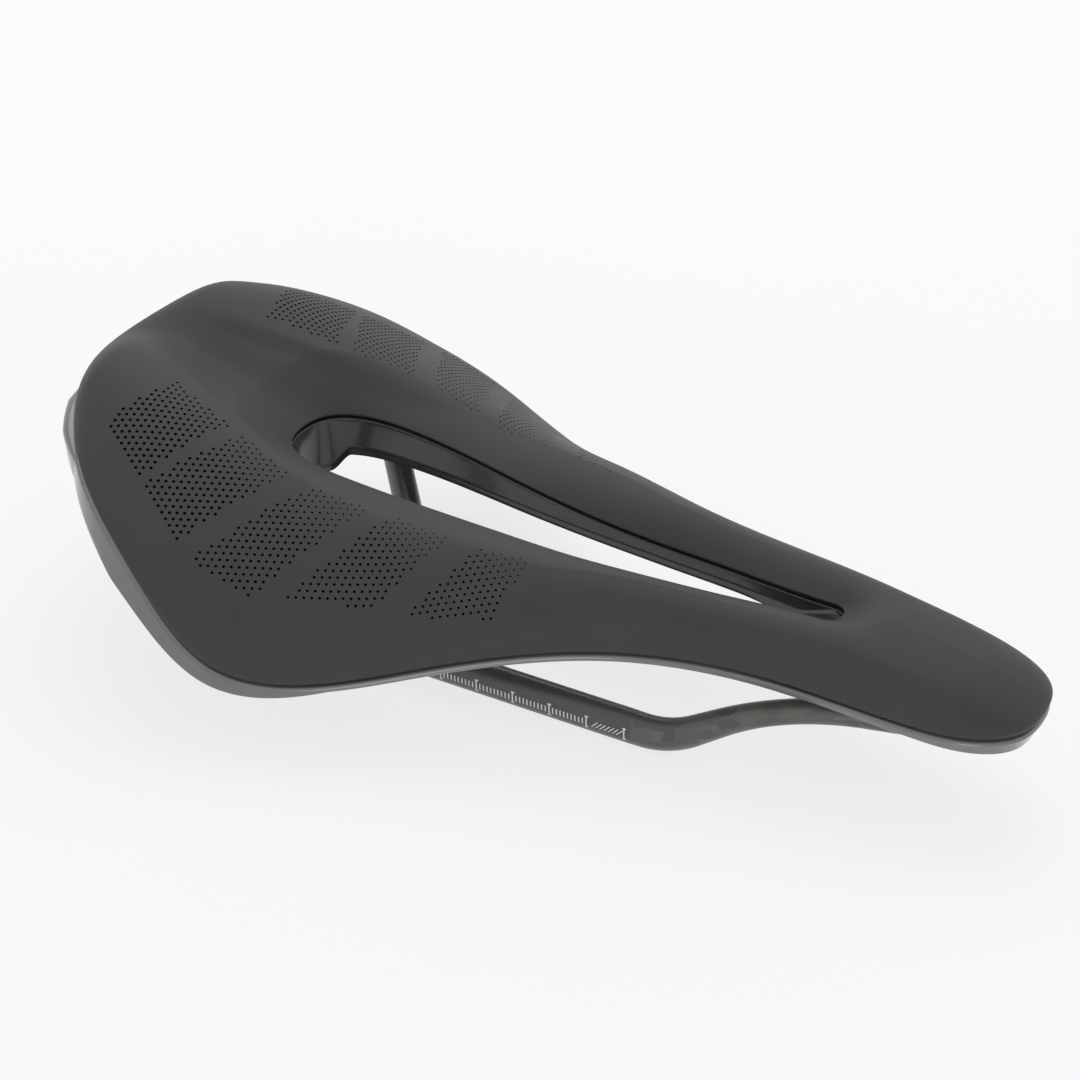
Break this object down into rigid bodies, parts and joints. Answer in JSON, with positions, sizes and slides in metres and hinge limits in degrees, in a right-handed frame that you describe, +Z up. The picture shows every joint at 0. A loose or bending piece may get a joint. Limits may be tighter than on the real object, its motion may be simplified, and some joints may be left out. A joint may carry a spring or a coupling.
{
  "type": "bicycle saddle",
  "caption": "Short-nose bicycle saddle: padded cover with a long relief cut-out, a thin rigid shell and oval rails that a seatpost clamp grips.",
  "frame": {"origin": "midway between the rails, at the middle of their clamping length, level with their flat undersides", "axes": "+X towards the nose, +Y to the rider's left, +Z up"},
  "size_m": [0.2524, 0.14, 0.0645],
  "materials": {
    "cover_skin": "matte synthetic cover",
    "foam": "open-cell padding",
    "gloss_shell": "gloss moulded shell",
    "carbon": "satin composite with a fine weave",
    "moulded": "matte moulded",
    "steel": "plain socket-head screws"
  },
  "bodies": {
    "root": {"cover": "cover_skin", "foam_pad": "foam", "base_shell": "gloss_shell", "cutout_trim": "gloss_shell", "left_rail": "carbon", "right_rail": "carbon", "nose_socket": "moulded", "rear_socket_left": "moulded", "rear_socket_right": "moulded", "rear_cap_left": "moulded", "rear_cap_right": "moulded", "rear_screw_left_inner": "steel", "rear_screw_left_outer": "steel", "rear_screw_right_inner": "steel", "rear_screw_right_outer": "steel"}
  },
  "joints": []
}
